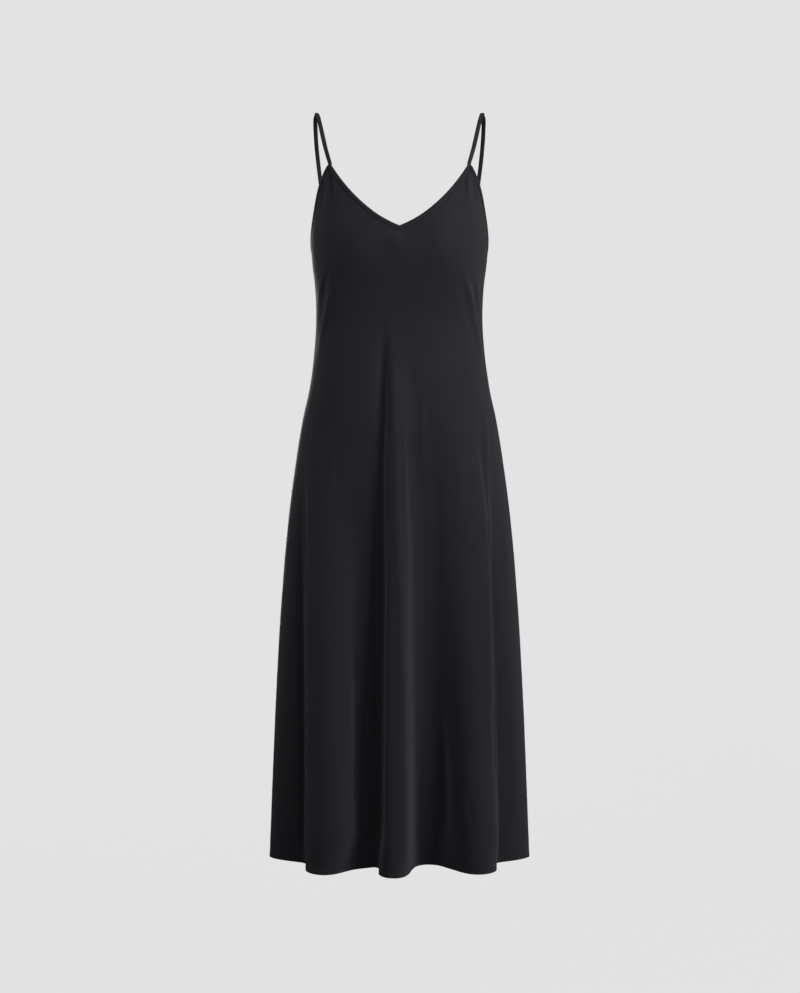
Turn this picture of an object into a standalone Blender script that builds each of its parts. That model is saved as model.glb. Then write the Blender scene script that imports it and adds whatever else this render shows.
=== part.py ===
"""A V-neck slip dress with narrow shoulder straps, filled out as when worn, and empty inside.

The front faces -Y, +X is the right-hand side seen from the front, and +Z is up. The origin is
between the shoulders, level with the undersides of the straps where they cross over them.

Every cloth piece lies on one surface around the body, body_point(angle, height). The angle is 0
at the centre front, 90 degrees at the right-hand side seam and 180 degrees at the centre back.
"""

import math
from collections import namedtuple

import bmesh
import bpy
import numpy as np

# Cloth, in metres.
WALL = 0.0013  # the cloth of the front and the back
SEAM_GAP = 0.0003  # the parting between neighbouring pieces
BINDING_WIDTH = 0.0070  # from the seam to the free edge
BINDING_PROUD = 0.00045  # how far the folded binding stands out on each face of the panel
STRAP_WIDTH = 0.0068
STRAP_THICKNESS = 0.0022
STRAP_EDGE = 0.0008  # how far the strap's rounded edges reach in from each side

# Heights, measured from the undersides of the straps.
HEM = -1.184
UNDERARM = -0.218  # the armhole seam at the side seam
FRONT_APEX = -0.0925  # where the front of a strap is sewn on
BACK_APEX = -0.180
V_POINT = -0.2058  # the neck seam at the centre front
BACK_NECK = -0.2100  # the neck seam at the centre back
LEVEL_BELOW = -0.300  # rows of the panels are level up to here, then rise to the top edge
COLUMNS_TURN = -0.600  # columns of the panels follow the skirt's folds from here to the hem

# The tips of the panels, where the neck seam meets the armhole seam.
FRONT_TIP_X = 0.1090
FRONT_TIP = -0.1003
BACK_TIP_X = 0.1170
BACK_TIP = -0.1862
FRONT_NECK_SLOPE = 0.685  # the V neck rises from its point by this slope and by a power
FRONT_NECK_POWER = 3.2
BACK_NECK_POWER = 2.2
ARM_POWER = 1.8

# The body, from the hem up: half the width at the side seams, the depth in front of them and
# behind them, and the power of the front and of the back, where 2 is an ellipse and more is
# squarer.
Section = namedtuple("Section", "height half_width front back front_power back_power")
SECTIONS = (
    Section(-1.184, 0.2080, 0.090, 0.096, 1.75, 1.80),
    Section(-1.050, 0.2028, 0.093, 0.100, 1.80, 1.85),
    Section(-0.900, 0.1962, 0.096, 0.104, 1.85, 1.90),
    Section(-0.760, 0.1876, 0.099, 0.108, 1.92, 1.98),
    Section(-0.640, 0.1768, 0.102, 0.112, 2.00, 2.05),
    Section(-0.560, 0.1664, 0.104, 0.112, 2.08, 2.12),
    Section(-0.490, 0.1552, 0.104, 0.107, 2.15, 2.18),
    Section(-0.430, 0.1424, 0.102, 0.095, 2.20, 2.20),
    Section(-0.375, 0.1350, 0.099, 0.081, 2.25, 2.25),
    Section(-0.330, 0.1318, 0.100, 0.075, 2.30, 2.30),
    Section(-0.280, 0.1336, 0.108, 0.081, 2.40, 2.38),
    Section(-0.240, 0.1388, 0.115, 0.089, 2.45, 2.45),
    Section(-0.211, 0.1414, 0.115, 0.093, 2.50, 2.50),
    Section(-0.150, 0.1402, 0.107, 0.094, 2.45, 2.50),
    Section(-0.095, 0.1420, 0.094, 0.092, 2.40, 2.50),
    Section(-0.070, 0.1430, 0.087, 0.090, 2.40, 2.50),
)

# Folds of the skirt. Each starts at a height, follows a line from its crest's place there to
# its place at the hem, and grows to its height at the hem. It falls away over a width on either
# side, from 0, a steep round edge, to 1, a soft slope. A valley has a height below zero.
Fold = namedtuple("Fold", "side start x_start x_hem left left_soft right right_soft rise growth")
FRONT, BACK = 1, -1
FOLDS = (
    Fold(FRONT, -0.500, -0.126, -0.118, 0.033, 0.0, 0.075, 1.0, 0.084, 1.2),
    Fold(FRONT, -0.340, -0.004, -0.008, 0.029, 0.0, 0.034, 0.3, 0.087, 1.3),
    Fold(FRONT, -0.480, 0.104, 0.127, 0.070, 0.8, 0.028, 0.0, 0.082, 1.2),
    Fold(FRONT, -0.420, 0.036, 0.043, 0.024, 0.8, 0.036, 1.0, -0.017, 1.0),
    Fold(FRONT, -0.560, -0.050, -0.052, 0.030, 1.0, 0.016, 0.6, 0.010, 1.0),
    Fold(BACK, -0.560, -0.108, -0.116, 0.030, 0.1, 0.062, 0.9, 0.068, 1.2),
    Fold(BACK, -0.520, 0.012, 0.018, 0.052, 0.9, 0.030, 0.1, 0.064, 1.2),
    Fold(BACK, -0.560, 0.112, 0.124, 0.046, 0.8, 0.028, 0.1, 0.070, 1.2),
    Fold(BACK, -0.600, -0.036, -0.040, 0.030, 1.0, 0.026, 1.0, 0.018, 1.0),
)
FOLD_NARROWING = 0.25  # the share by which a fold is narrower where it starts

# A flank's two powers, from a steep round edge to a soft slope.
FLANK_REACH = (1.6, 1.0)
FLANK_FALL = (0.8, 2.0)

# Soft fullness of the front over the bust, raised from the surface on both sides.
Fullness = namedtuple("Fullness", "x height spread_x spread_z rise")
FULLNESS = (Fullness(0.066, -0.215, 0.036, 0.042, 0.006),)

# The strap's centre line from the front apex to the back apex: how far out, back and up.
StrapPoint = namedtuple("StrapPoint", "x y z")
STRAP_FRONT = (
    StrapPoint(0.1157, -0.0600, -0.0637),
    StrapPoint(0.1202, -0.0510, -0.0450),
    StrapPoint(0.1248, -0.0390, -0.0240),
    StrapPoint(0.1290, -0.0260, -0.0070),
)
STRAP_BACK = (
    StrapPoint(0.1350, 0.0080, -0.0040),
    StrapPoint(0.1362, 0.0250, -0.0160),
    StrapPoint(0.1361, 0.0430, -0.0390),
    StrapPoint(0.1341, 0.0600, -0.0680),
    StrapPoint(0.1296, 0.0720, -0.1050),
    StrapPoint(0.1236, 0.0750, -0.1450),
)
STRAP_TOP_X = 0.1322
STRAP_SEAT = (-0.0130, -0.0050)  # from front to back, the level stretch on the shoulder

# Mesh sizes.
ROOT_STEPS = 36  # halvings of a root's range
SURFACE_STEP = 1e-4  # between two points of the surface that give its direction, in rad or m
LEAST_LEAN = 0.6  # limits how far a sharp crease moves the inner wall
SHARP_EDGE = math.radians(50)
LEVEL_ROWS = 17
FRONT_UPPER_ROWS = 8
BACK_UPPER_ROWS = 5
FRONT_ARM_COLUMNS = 9
BACK_ARM_COLUMNS = 7
APEX_COLUMN = math.radians(3)
NECK_SEGMENTS = 14  # on each side of the centre
STRAP_STEPS = 3  # between two points of its centre line

# Cloth colours, near black with a little violet.
CLOTH = (0.0205, 0.0190, 0.0230, 1.0)
TRIM = (0.0175, 0.0165, 0.0195, 1.0)


SECTION_HEIGHTS = np.array([row.height for row in SECTIONS])
SECTION_VALUES = np.array(SECTIONS)[:, 1:]
SECTION_SLOPES = np.gradient(SECTION_VALUES, SECTION_HEIGHTS, axis=0)


def section_at(height):
    """A Section's values at any height, on a smooth curve through the table's rows."""
    above = np.clip(np.searchsorted(SECTION_HEIGHTS, height), 1, len(SECTIONS) - 1)
    below = above - 1
    span = (SECTION_HEIGHTS[above] - SECTION_HEIGHTS[below])[..., None]
    part = np.clip((height - SECTION_HEIGHTS[below])[..., None] / span, 0, 1)
    values = (
        SECTION_VALUES[below] * (2 * part**3 - 3 * part**2 + 1)
        + SECTION_VALUES[above] * (3 * part**2 - 2 * part**3)
        + SECTION_SLOPES[below] * span * (part**3 - 2 * part**2 + part)
        + SECTION_SLOPES[above] * span * (part**3 - part**2)
    )
    return np.moveaxis(values, -1, 0)


def fold_flank(distance, width, soft):
    """How high a fold stands, from 1 at its crest to 0 at its foot."""
    reach_power, fall_power = (
        steep + soft * (gentle - steep) for steep, gentle in (FLANK_REACH, FLANK_FALL)
    )
    reach = np.clip(distance / width, 0, 1) ** reach_power
    return np.clip(np.cos(math.pi / 2 * reach), 0, 1) ** fall_power


def fold_rise(side, x, height):
    """How far the folds of one side push the cloth out."""
    total = 0
    for fold in FOLDS:
        if fold.side != side:
            continue
        down = np.clip((fold.start - height) / (fold.start - HEM), 0, 1.1)
        from_crest = x - (fold.x_start + (fold.x_hem - fold.x_start) * down)
        scale = 1 - FOLD_NARROWING * (1 - down)
        flank = np.where(
            from_crest < 0,
            fold_flank(-from_crest, fold.left * scale, fold.left_soft),
            fold_flank(from_crest, fold.right * scale, fold.right_soft),
        )
        total = total + fold.rise * down**fold.growth * flank
    return total


def bust_rise(x, height):
    """How far the soft fullness over the bust pushes the front out."""
    total = 0
    for row in FULLNESS:
        across = (np.abs(x) - row.x) / row.spread_x
        upward = (height - row.height) / row.spread_z
        total = total + row.rise * np.exp(-(across**2) - upward**2)
    return total


def body_point(angle, height):
    """The outside of the cloth at an angle around the body and a height."""
    angle, height = np.broadcast_arrays(np.asarray(angle, float), np.asarray(height, float))
    half_width, front, back, front_power, back_power = section_at(height)
    ahead = np.cos(angle) >= 0
    power = np.where(ahead, front_power, back_power)
    across, along = np.sin(angle), np.abs(np.cos(angle))
    reach = (np.abs(across) ** power + along**power) ** (-1 / power)
    x = half_width * across * reach
    ahead_out = front * along * reach + fold_rise(FRONT, x, height) + bust_rise(x, height)
    behind_out = back * along * reach + fold_rise(BACK, x, height)
    return np.stack([x, np.where(ahead, -ahead_out, behind_out), height], axis=-1)


def surface_directions(angle, height):
    """How body_point moves with the angle and with the height."""
    step = SURFACE_STEP
    around = body_point(angle + step, height) - body_point(angle - step, height)
    upward = body_point(angle, height + step) - body_point(angle, height - step)
    return around / (2 * step), upward / (2 * step)


def unit(vectors):
    return vectors / np.linalg.norm(vectors, axis=-1, keepdims=True)


def body_normal(angle, height):
    """The outward direction of body_point's surface."""
    return unit(np.cross(*surface_directions(angle, height)))


def moved_along(angle, height, move):
    """The angle and height reached from a place by a short move along the surface."""
    around, upward = surface_directions(angle, height)
    square = np.cross(around, upward)
    size = np.sum(square * square, axis=-1)
    turn = np.sum(np.cross(move, upward) * square, axis=-1) / size
    climb = np.sum(np.cross(around, move) * square, axis=-1) / size
    return angle + turn, height + climb


def root_of(function, low, high):
    """Where a function that rises through zero between low and high is zero."""
    for _ in range(ROOT_STEPS):
        middle = (low + high) / 2
        over = function(middle) > 0
        high = np.where(over, middle, high)
        low = np.where(over, low, middle)
    return (low + high) / 2


def angle_at_x(side, x, height):
    """The angle at which the front or the back is x from the centre plane."""
    middle = 0 if side == FRONT else math.pi
    low = np.full(np.shape(height), middle - math.pi / 2)
    return root_of(
        lambda angle: side * (body_point(angle, height)[..., 0] - x), low, low + math.pi
    )


# One half of the garment's top, where the bindings are sewn on: the neck seam from the centre
# up to the tip of the panel, and the armhole seam from there down to the side seam. apex is the
# height at which the strap takes over from the armhole binding.
Top = namedtuple("Top", "centre slope power tip_angle tip_x tip_y tip_z apex")


def front_top():
    angle = float(angle_at_x(FRONT, FRONT_TIP_X, FRONT_TIP))
    y = float(body_point(angle, FRONT_TIP)[1])
    return Top(
        V_POINT, FRONT_NECK_SLOPE, FRONT_NECK_POWER, angle, FRONT_TIP_X, y, FRONT_TIP, FRONT_APEX
    )


def back_top():
    angle = float(angle_at_x(BACK, BACK_TIP_X, BACK_TIP))
    y = float(body_point(angle, BACK_TIP)[1])
    return Top(BACK_NECK, 0, BACK_NECK_POWER, angle, BACK_TIP_X, y, BACK_TIP, BACK_APEX)


def seam_height(top, angle):
    """The height of a panel's top edge at an angle."""
    straight = top.slope * top.tip_x
    curved = top.tip_z - top.centre - straight

    def above_edge(height):
        point = body_point(angle, height)
        out = np.abs(point[..., 0]) / top.tip_x
        neck = top.centre + straight * out + curved * out**top.power
        deep = np.clip(point[..., 1] / top.tip_y, 0, None)
        armhole = UNDERARM + (top.tip_z - UNDERARM) * deep**ARM_POWER
        return height - np.minimum(neck, armhole)

    low = np.full(np.shape(angle), LEVEL_BELOW)
    return root_of(above_edge, low, np.full(np.shape(angle), top.apex))


# A column line of a panel: its angle at the top, its place where the folds begin to matter and
# at the hem, and how many columns there are up to the next line.
ColumnLine = namedtuple("ColumnLine", "top_angle turn_x hem_x columns")


def front_lines(tip):
    """The front's column lines, on the edges of its folds and of its top edge."""
    return (
        ColumnLine(-math.pi / 2, None, None, FRONT_ARM_COLUMNS),
        ColumnLine(-tip, -0.1512, -0.1508, 1),
        ColumnLine(-tip + APEX_COLUMN, -0.1440, -0.1440, 9),
        ColumnLine(math.radians(-13), -0.0310, -0.0368, 1),
        ColumnLine(math.radians(-11), -0.0275, -0.0330, 3),
        ColumnLine(0, -0.0060, -0.0080, 4),
        ColumnLine(math.radians(12), 0.0200, 0.0250, 8),
        ColumnLine(tip - APEX_COLUMN, 0.1300, 0.1490, 1),
        ColumnLine(tip, 0.1360, 0.1548, FRONT_ARM_COLUMNS),
        ColumnLine(math.pi / 2, None, None, 0),
    )


def back_lines(tip):
    """The back's column lines, from the right-hand side seam to the left-hand one."""
    return (
        ColumnLine(math.pi / 2, None, None, BACK_ARM_COLUMNS),
        ColumnLine(tip, 0.1380, 0.1520, 1),
        ColumnLine(tip + APEX_COLUMN, 0.1320, 0.1460, 9),
        ColumnLine(math.pi - math.radians(14), 0.0360, 0.0480, 1),
        ColumnLine(math.pi - math.radians(11), 0.0310, 0.0420, 4),
        ColumnLine(math.pi + math.radians(7), -0.0080, -0.0150, 8),
        ColumnLine(2 * math.pi - tip - APEX_COLUMN, -0.1280, -0.1400, 1),
        ColumnLine(2 * math.pi - tip, -0.1340, -0.1464, BACK_ARM_COLUMNS),
        ColumnLine(3 * math.pi / 2, None, None, 0),
    )


def line_angles(side, line, heights):
    """A column line's angle at each height."""
    if line.turn_x is None:
        return np.full(len(heights), line.top_angle)
    low = np.minimum(heights, COLUMNS_TURN)
    up = (low - HEM) / (COLUMNS_TURN - HEM)
    folded = angle_at_x(side, line.hem_x + up * (line.turn_x - line.hem_x), low)
    turned = np.clip((heights - COLUMNS_TURN) / (LEVEL_BELOW - COLUMNS_TURN), 0, 1)
    turned = turned * turned * (3 - 2 * turned)
    return folded + turned * (line.top_angle - folded)


def panel_grid(side, top, lines, upper_rows):
    """The angles and heights of a panel's points, by row from the hem and by column."""
    level = np.linspace(HEM, LEVEL_BELOW, LEVEL_ROWS + 1)
    along_lines = np.stack([line_angles(side, line, level) for line in lines], axis=1)
    places = np.cumsum([0, *[line.columns for line in lines[:-1]]])
    columns = np.arange(places[-1] + 1)
    angles = np.array([np.interp(columns, places, row) for row in along_lines])
    edge = seam_height(top, angles[-1])
    rise = np.linspace(0, 1, upper_rows + 1)[1:, None]
    heights = np.vstack(
        [level[:, None] * np.ones(len(columns)), LEVEL_BELOW + rise * (edge - LEVEL_BELOW)]
    )
    return np.vstack([angles, *[angles[-1]] * upper_rows]), heights


def cloth_material(name, colour, roughness):
    """A soft dark cloth with a faint sheen."""
    material = bpy.data.materials.new(name)
    material.use_nodes = True
    shader = material.node_tree.nodes["Principled BSDF"]
    shader.inputs["Base Color"].default_value = colour
    shader.inputs["Roughness"].default_value = roughness
    shader.inputs["Metallic"].default_value = 0.0
    shader.inputs["Sheen Weight"].default_value = 0.15
    material.diffuse_color = colour
    return material


def add_object(name, points, faces, material):
    """A mesh object made from points and faces, shaded smooth with sharp edges kept."""
    mesh = bpy.data.meshes.new(name)
    shape = bmesh.new()
    vertices = [shape.verts.new(point) for point in points]
    for face in faces:
        shape.faces.new([vertices[index] for index in face])
    bmesh.ops.recalc_face_normals(shape, faces=shape.faces)
    shape.to_mesh(mesh)
    shape.free()
    mesh.shade_smooth()
    mesh.set_sharp_from_angle(angle=SHARP_EDGE)
    mesh.materials.append(material)
    item = bpy.data.objects.new(name, mesh)
    bpy.context.scene.collection.objects.link(item)
    return item


def wall_inside(outside):
    """The inner points of a wall of even thickness under a grid of outer points."""
    across = outside[1:, 1:] - outside[:-1, :-1]
    upward = outside[1:, :-1] - outside[:-1, 1:]
    faces = np.pad(unit(np.cross(across, upward)), ((1, 1), (1, 1), (0, 0)), mode="edge")
    around = np.stack([faces[:-1, :-1], faces[:-1, 1:], faces[1:, :-1], faces[1:, 1:]])
    normals = around.sum(axis=0)
    normals[:, (0, -1), 1] = 0  # the two panels meet face to face at the side seams
    normals = unit(normals)
    lean = np.sum(around * normals, axis=-1).min(axis=0)
    return outside - WALL / np.clip(lean, LEAST_LEAN, 1)[..., None] * normals


def add_panel(name, side, angles, heights, material):
    """One panel: a wall of even thickness between its outside and its inside."""
    outside = body_point(angles, heights)
    inside = wall_inside(outside)
    parting = np.array([0, -side * SEAM_GAP / 2, 0])
    points = np.concatenate([outside.reshape(-1, 3), inside.reshape(-1, 3)]) + parting
    rows, columns = angles.shape
    faces = []
    for row in range(rows - 1):
        for column in range(columns - 1):
            start = row * columns + column
            corners = (start, start + 1, start + columns + 1, start + columns)
            faces.append(corners)
            faces.append([rows * columns + corner for corner in reversed(corners)])
    last_row, last_column = (rows - 1) * columns, columns - 1
    rim = list(range(columns))
    rim += [row * columns + last_column for row in range(1, rows)]
    rim += [last_row + column for column in range(last_column - 1, -1, -1)]
    rim += [row * columns for row in range(rows - 2, 0, -1)]
    for here, there in zip(rim, rim[1:] + rim[:1]):
        faces.append((there, here, here + rows * columns, there + rows * columns))
    return add_object(name, points, faces, material)


def add_sweep(name, rings, material):
    """A closed body through a row of rings, each with the same number of corners."""
    count, around = rings.shape[:2]
    faces = [range(around), range((count - 1) * around, count * around)]
    for start in range(0, (count - 1) * around, around):
        for corner in range(around):
            here, there = start + corner, start + (corner + 1) % around
            faces.append((here, there, there + around, here + around))
    return add_object(name, rings.reshape(-1, 3), faces, material)


def seam_directions(angles, heights):
    """Along a seam, and across it in the surface, away from the panel."""
    along = unit(np.gradient(body_point(angles, heights), axis=0))
    across = unit(np.cross(along, body_normal(angles, heights)))
    return along, across * np.where(across[:, 2:] < 0, -1, 1)


def mitred(across, along, facing):
    """A direction across a seam, leaned along it to lie square to a facing direction."""
    return across - along * np.dot(across, facing) / np.dot(along, facing)


def band_ring(angle, height, near, far):
    """A binding's four corners, between two moves from a place on its seam."""
    ring = []
    for move, order in ((near, 1), (far, -1)):
        place = moved_along(angle, height, move)
        outside = body_point(*place) + BINDING_PROUD * body_normal(*place)
        inside = outside - (WALL + 2 * BINDING_PROUD) * body_normal(*place)
        ring += [outside, inside][::order]
    return np.array(ring)


def band_rings(angles, heights, across):
    """The rings of a binding along a seam, from its seam side to its free edge."""
    return [
        band_ring(angle, height, SEAM_GAP * out, BINDING_WIDTH * out)
        for angle, height, out in zip(angles, heights, across)
    ]


def level_ring(ring, along, height):
    """A ring with each corner slid along a direction to one height."""
    return np.array([corner + along * (height - corner[2]) / along[2] for corner in ring])


def apex_ring(top, angle, height, up, across):
    """The end of the armhole binding, carried on from the panel's tip to the strap."""
    moves = []
    for distance in (SEAM_GAP, BINDING_WIDTH):
        rest = top.apex - height - distance * across[2]
        moves.append(distance * across + rest / up[2] * up)
    return level_ring(band_ring(angle, height, *moves), up, top.apex)


def armhole_seam(front, back):
    """The angles and heights of the right-hand armhole seam, from tip to tip."""
    ahead = np.linspace(front.tip_angle, math.pi / 2, FRONT_ARM_COLUMNS + 1)
    behind = np.linspace(math.pi / 2, back.tip_angle, BACK_ARM_COLUMNS + 1)[1:]
    heights = np.concatenate([seam_height(front, ahead), seam_height(back, behind)])
    return np.concatenate([ahead, behind]), heights


def armhole_rings(front, back):
    """The right-hand armhole binding, from the front apex under the arm to the back apex."""
    angles, heights = armhole_seam(front, back)
    along, across = seam_directions(angles, heights)
    first = apex_ring(front, angles[0], heights[0], -along[0], across[0])
    last = apex_ring(back, angles[-1], heights[-1], along[-1], across[-1])
    return np.array([first, *band_rings(angles, heights, across), last])


def neck_half(top, angles, armhole_across):
    """Half of a neck binding, from the centre to its mitre against the armhole binding."""
    heights = seam_height(top, angles)
    along, across = seam_directions(angles, heights)
    across[0] = mitred(across[0], along[0], (1, 0, 0))
    across[-1] = mitred(across[-1], along[-1], armhole_across)
    rings = np.array(band_rings(angles, heights, across))
    rings[0, :, 0] = 0
    return rings


def neck_rings(top, centre_angle, armhole_across):
    """A neck binding, from the left-hand apex to the right-hand one."""
    angles = np.linspace(centre_angle, top.tip_angle, NECK_SEGMENTS + 1)
    right = neck_half(top, angles, armhole_across)
    left = right[:0:-1] * (-1, 1, 1)
    return np.concatenate([left, right])


def smooth_path(points, last_direction):
    """Points along a smooth curve through a strap's points, ending in a given direction."""
    points = np.array(points)
    slopes = np.gradient(points, axis=0)
    slopes[-1] = np.array(last_direction) * np.linalg.norm(points[-1] - points[-2])
    path = []
    for index in range(len(points) - 1):
        for step in range(STRAP_STEPS):
            part = step / STRAP_STEPS
            path.append(
                points[index] * (2 * part**3 - 3 * part**2 + 1)
                + points[index + 1] * (3 * part**2 - 2 * part**3)
                + slopes[index] * (part**3 - 2 * part**2 + part)
                + slopes[index + 1] * (part**3 - part**2)
            )
    return [*path, points[-1]]


def strap_root(ring):
    """Where a strap stands on the end of the armhole binding, and the direction across it."""
    across = ring[2:].mean(axis=0) - ring[:2].mean(axis=0)
    return ring.mean(axis=0) + (0, 0, SEAM_GAP), unit(across)


def strap_rings(armhole):
    """The right-hand strap, a flat rouleau from the front apex over the shoulder to the back."""
    front, front_across = strap_root(armhole[0])
    back, back_across = strap_root(armhole[-1])
    seat = [np.array([STRAP_TOP_X, y, STRAP_THICKNESS / 2]) for y in STRAP_SEAT]
    rising = smooth_path([front, *STRAP_FRONT, seat[0]], (0, 1, 0))
    falling = smooth_path([back, *STRAP_BACK[::-1], seat[1]], (0, -1, 0))[::-1]
    path = np.array(rising + falling)
    along = np.gradient(path, axis=0)
    along[len(rising) - 1] = along[len(rising)] = (0, 1, 0)
    along = unit(along)
    wide, thick = STRAP_WIDTH / 2, STRAP_THICKNESS / 2
    flat, edge = wide - STRAP_EDGE, thick / 3
    half = ((-flat, -thick), (flat, -thick), (wide, -edge), (wide, edge))
    corners = (*half, *((-right, -up) for right, up in half))
    rings = []
    for index, centre in enumerate(path):
        place = index - len(rising) + 0.5
        root_across, steps = (
            (front_across, len(rising)) if place < 0 else (back_across, len(falling))
        )
        turned = min(1, abs(place) / steps) ** 3
        across = (1 - turned) * np.array([1.0, 0, 0]) + turned * root_across
        across = unit(across - np.dot(across, along[index]) * along[index])
        upward = np.cross(across, along[index])
        rings.append([centre + right * across + up * upward for right, up in corners])
    rings[0] = level_ring(rings[0], along[0], FRONT_APEX + SEAM_GAP)
    rings[-1] = level_ring(rings[-1], along[-1], BACK_APEX + SEAM_GAP)
    return np.array(rings)


def add_pair(name, rings, material):
    """A piece on the right-hand side and its mirror image on the left."""
    add_sweep(name + "_right", rings, material)
    add_sweep(name + "_left", rings * (-1, 1, 1), material)


def main():
    for item in list(bpy.data.objects):
        bpy.data.objects.remove(item, do_unlink=True)
    front_cloth = cloth_material("front cloth", CLOTH, 0.55)
    back_cloth = cloth_material("back cloth", CLOTH, 0.55)
    neck_trim = cloth_material("neck binding", TRIM, 0.60)
    arm_trim = cloth_material("armhole binding", TRIM, 0.60)
    strap_cloth = cloth_material("strap", TRIM, 0.58)
    front, back = front_top(), back_top()
    front_grid = panel_grid(FRONT, front, front_lines(front.tip_angle), FRONT_UPPER_ROWS)
    back_grid = panel_grid(BACK, back, back_lines(back.tip_angle), BACK_UPPER_ROWS)
    add_panel("front_panel", FRONT, *front_grid, front_cloth)
    add_panel("back_panel", BACK, *back_grid, back_cloth)
    armhole = armhole_rings(front, back)
    out = seam_directions(*armhole_seam(front, back))[1]
    add_sweep("neck_binding_front", neck_rings(front, 0, out[0]), neck_trim)
    add_sweep("neck_binding_back", neck_rings(back, math.pi, out[-1]), neck_trim)
    add_pair("armhole_binding", armhole, arm_trim)
    add_pair("strap", strap_rings(armhole), strap_cloth)


main()
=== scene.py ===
"""A black slip dress, filled out as when worn, with a V neck, bound edges and narrow straps.

The front faces -Y, +X is the right-hand side seen from the front and +Z is up, in metres. The
cloth lies on one surface around the body, body_point(angle, height): the angle is 0 at the centre
front, 90 degrees at the right-hand side seam and 180 degrees at the centre back.
"""

import math
from collections import namedtuple

import bpy
import numpy as np
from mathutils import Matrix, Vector, noise


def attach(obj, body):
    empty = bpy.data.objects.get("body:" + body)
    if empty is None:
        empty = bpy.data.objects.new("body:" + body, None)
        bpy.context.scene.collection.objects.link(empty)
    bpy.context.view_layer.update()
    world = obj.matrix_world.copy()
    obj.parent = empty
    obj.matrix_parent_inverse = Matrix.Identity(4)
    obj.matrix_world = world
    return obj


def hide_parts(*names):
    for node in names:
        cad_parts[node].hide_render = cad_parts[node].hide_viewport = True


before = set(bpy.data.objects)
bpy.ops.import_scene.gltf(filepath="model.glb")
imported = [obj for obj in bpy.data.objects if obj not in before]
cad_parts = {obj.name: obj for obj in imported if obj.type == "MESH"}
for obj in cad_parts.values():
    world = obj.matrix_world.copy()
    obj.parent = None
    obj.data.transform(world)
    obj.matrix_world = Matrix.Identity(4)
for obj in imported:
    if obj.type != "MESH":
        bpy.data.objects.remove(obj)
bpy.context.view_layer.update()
ROOT = "root"

# Cloth.
CLOTH_THICKNESS = 0.0007
SOLID_WALL = 0.0013  # the thickness of the solids' panels
SEAM_GAP = 0.0003
BINDING_WIDTH = 0.0070
BINDING_PROUD = 0.00045  # how far a binding stands out from the panel, on each face
STRAP_WIDTH = 0.0068
STRAP_THICKNESS = 0.0022
MIRROR = (-1, 1, 1)  # turns a right-hand place into the left-hand one

# Heights, measured from the undersides of the straps.
HEM = -1.184
UNDERARM = -0.218
LEVEL_BELOW = -0.300  # the rows of a panel's points are level below this
COLUMNS_TURN = -0.600  # and their columns follow the folds below this

# The top edge of the front and of the back: the height of the neckline's middle, how far it
# flattens off there, its slope and its power, the tip where it meets the armhole, and the height
# of the strap's end. The tip's angle and y are worked out from the body.
FRONT, BACK = 1, -1
Top = namedtuple("Top", "side centre ease slope power tip_x tip_z apex tip_angle tip_y")
TOPS = (
    Top(FRONT, -0.2058, 0.0074, 0.685, 3.4, 0.1106, -0.0963, -0.0885, None, None),
    Top(BACK, -0.2100, 0, 0, 2.2, 0.1170, -0.1862, -0.180, None, None),
)
EASE_WIDTH = 0.050
ARM_POWER = 1.8  # the power of the armholes' curve

# The body from the hem up: the height, half the width, the depth in front and behind, and the
# powers of the front and of the back, where 2 is an ellipse and more is squarer.
SECTIONS = (
    (-1.184, 0.2080, 0.090, 0.096, 1.75, 1.80),
    (-1.050, 0.2028, 0.093, 0.100, 1.80, 1.85),
    (-0.900, 0.1962, 0.096, 0.104, 1.85, 1.90),
    (-0.760, 0.1876, 0.099, 0.108, 1.92, 1.98),
    (-0.640, 0.1768, 0.102, 0.112, 2.00, 2.05),
    (-0.560, 0.1664, 0.104, 0.112, 2.08, 2.12),
    (-0.490, 0.1552, 0.104, 0.107, 2.15, 2.18),
    (-0.430, 0.1424, 0.102, 0.095, 2.20, 2.20),
    (-0.375, 0.1350, 0.099, 0.081, 2.25, 2.25),
    (-0.330, 0.1318, 0.100, 0.075, 2.30, 2.30),
    (-0.280, 0.1336, 0.108, 0.081, 2.40, 2.38),
    (-0.240, 0.1388, 0.115, 0.089, 2.45, 2.45),
    (-0.211, 0.1414, 0.115, 0.093, 2.50, 2.50),
    (-0.150, 0.1402, 0.107, 0.094, 2.45, 2.50),
    (-0.095, 0.1420, 0.094, 0.092, 2.40, 2.50),
    (-0.070, 0.1430, 0.087, 0.090, 2.40, 2.50),
)

# The large folds of the skirt, as in the solids: each starts at a height, follows its crest's
# line to the hem and falls away on either side, from 0, a steep edge, to 1, a soft slope.
Fold = namedtuple("Fold", "side start x_start x_hem left left_soft right right_soft rise growth")
FOLDS = (
    Fold(FRONT, -0.500, -0.126, -0.118, 0.033, 0.0, 0.075, 1.0, 0.084, 1.2),
    Fold(FRONT, -0.340, -0.004, -0.008, 0.029, 0.0, 0.034, 0.3, 0.087, 1.3),
    Fold(FRONT, -0.480, 0.104, 0.127, 0.070, 0.8, 0.028, 0.0, 0.082, 1.2),
    Fold(FRONT, -0.420, 0.036, 0.043, 0.024, 0.8, 0.036, 1.0, -0.017, 1.0),
    Fold(FRONT, -0.560, -0.050, -0.052, 0.030, 1.0, 0.016, 0.6, 0.010, 1.0),
    Fold(BACK, -0.560, -0.108, -0.116, 0.030, 0.1, 0.062, 0.9, 0.068, 1.2),
    Fold(BACK, -0.520, 0.012, 0.018, 0.052, 0.9, 0.030, 0.1, 0.064, 1.2),
    Fold(BACK, -0.560, 0.112, 0.124, 0.046, 0.8, 0.028, 0.1, 0.070, 1.2),
    Fold(BACK, -0.600, -0.036, -0.040, 0.030, 1.0, 0.026, 1.0, 0.018, 1.0),
)
FOLD_NARROWING = 0.25  # how much narrower a fold is where it starts
PAST_HEM = 1.1  # where a fold's line ends, as a share of its length to the hem
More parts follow.
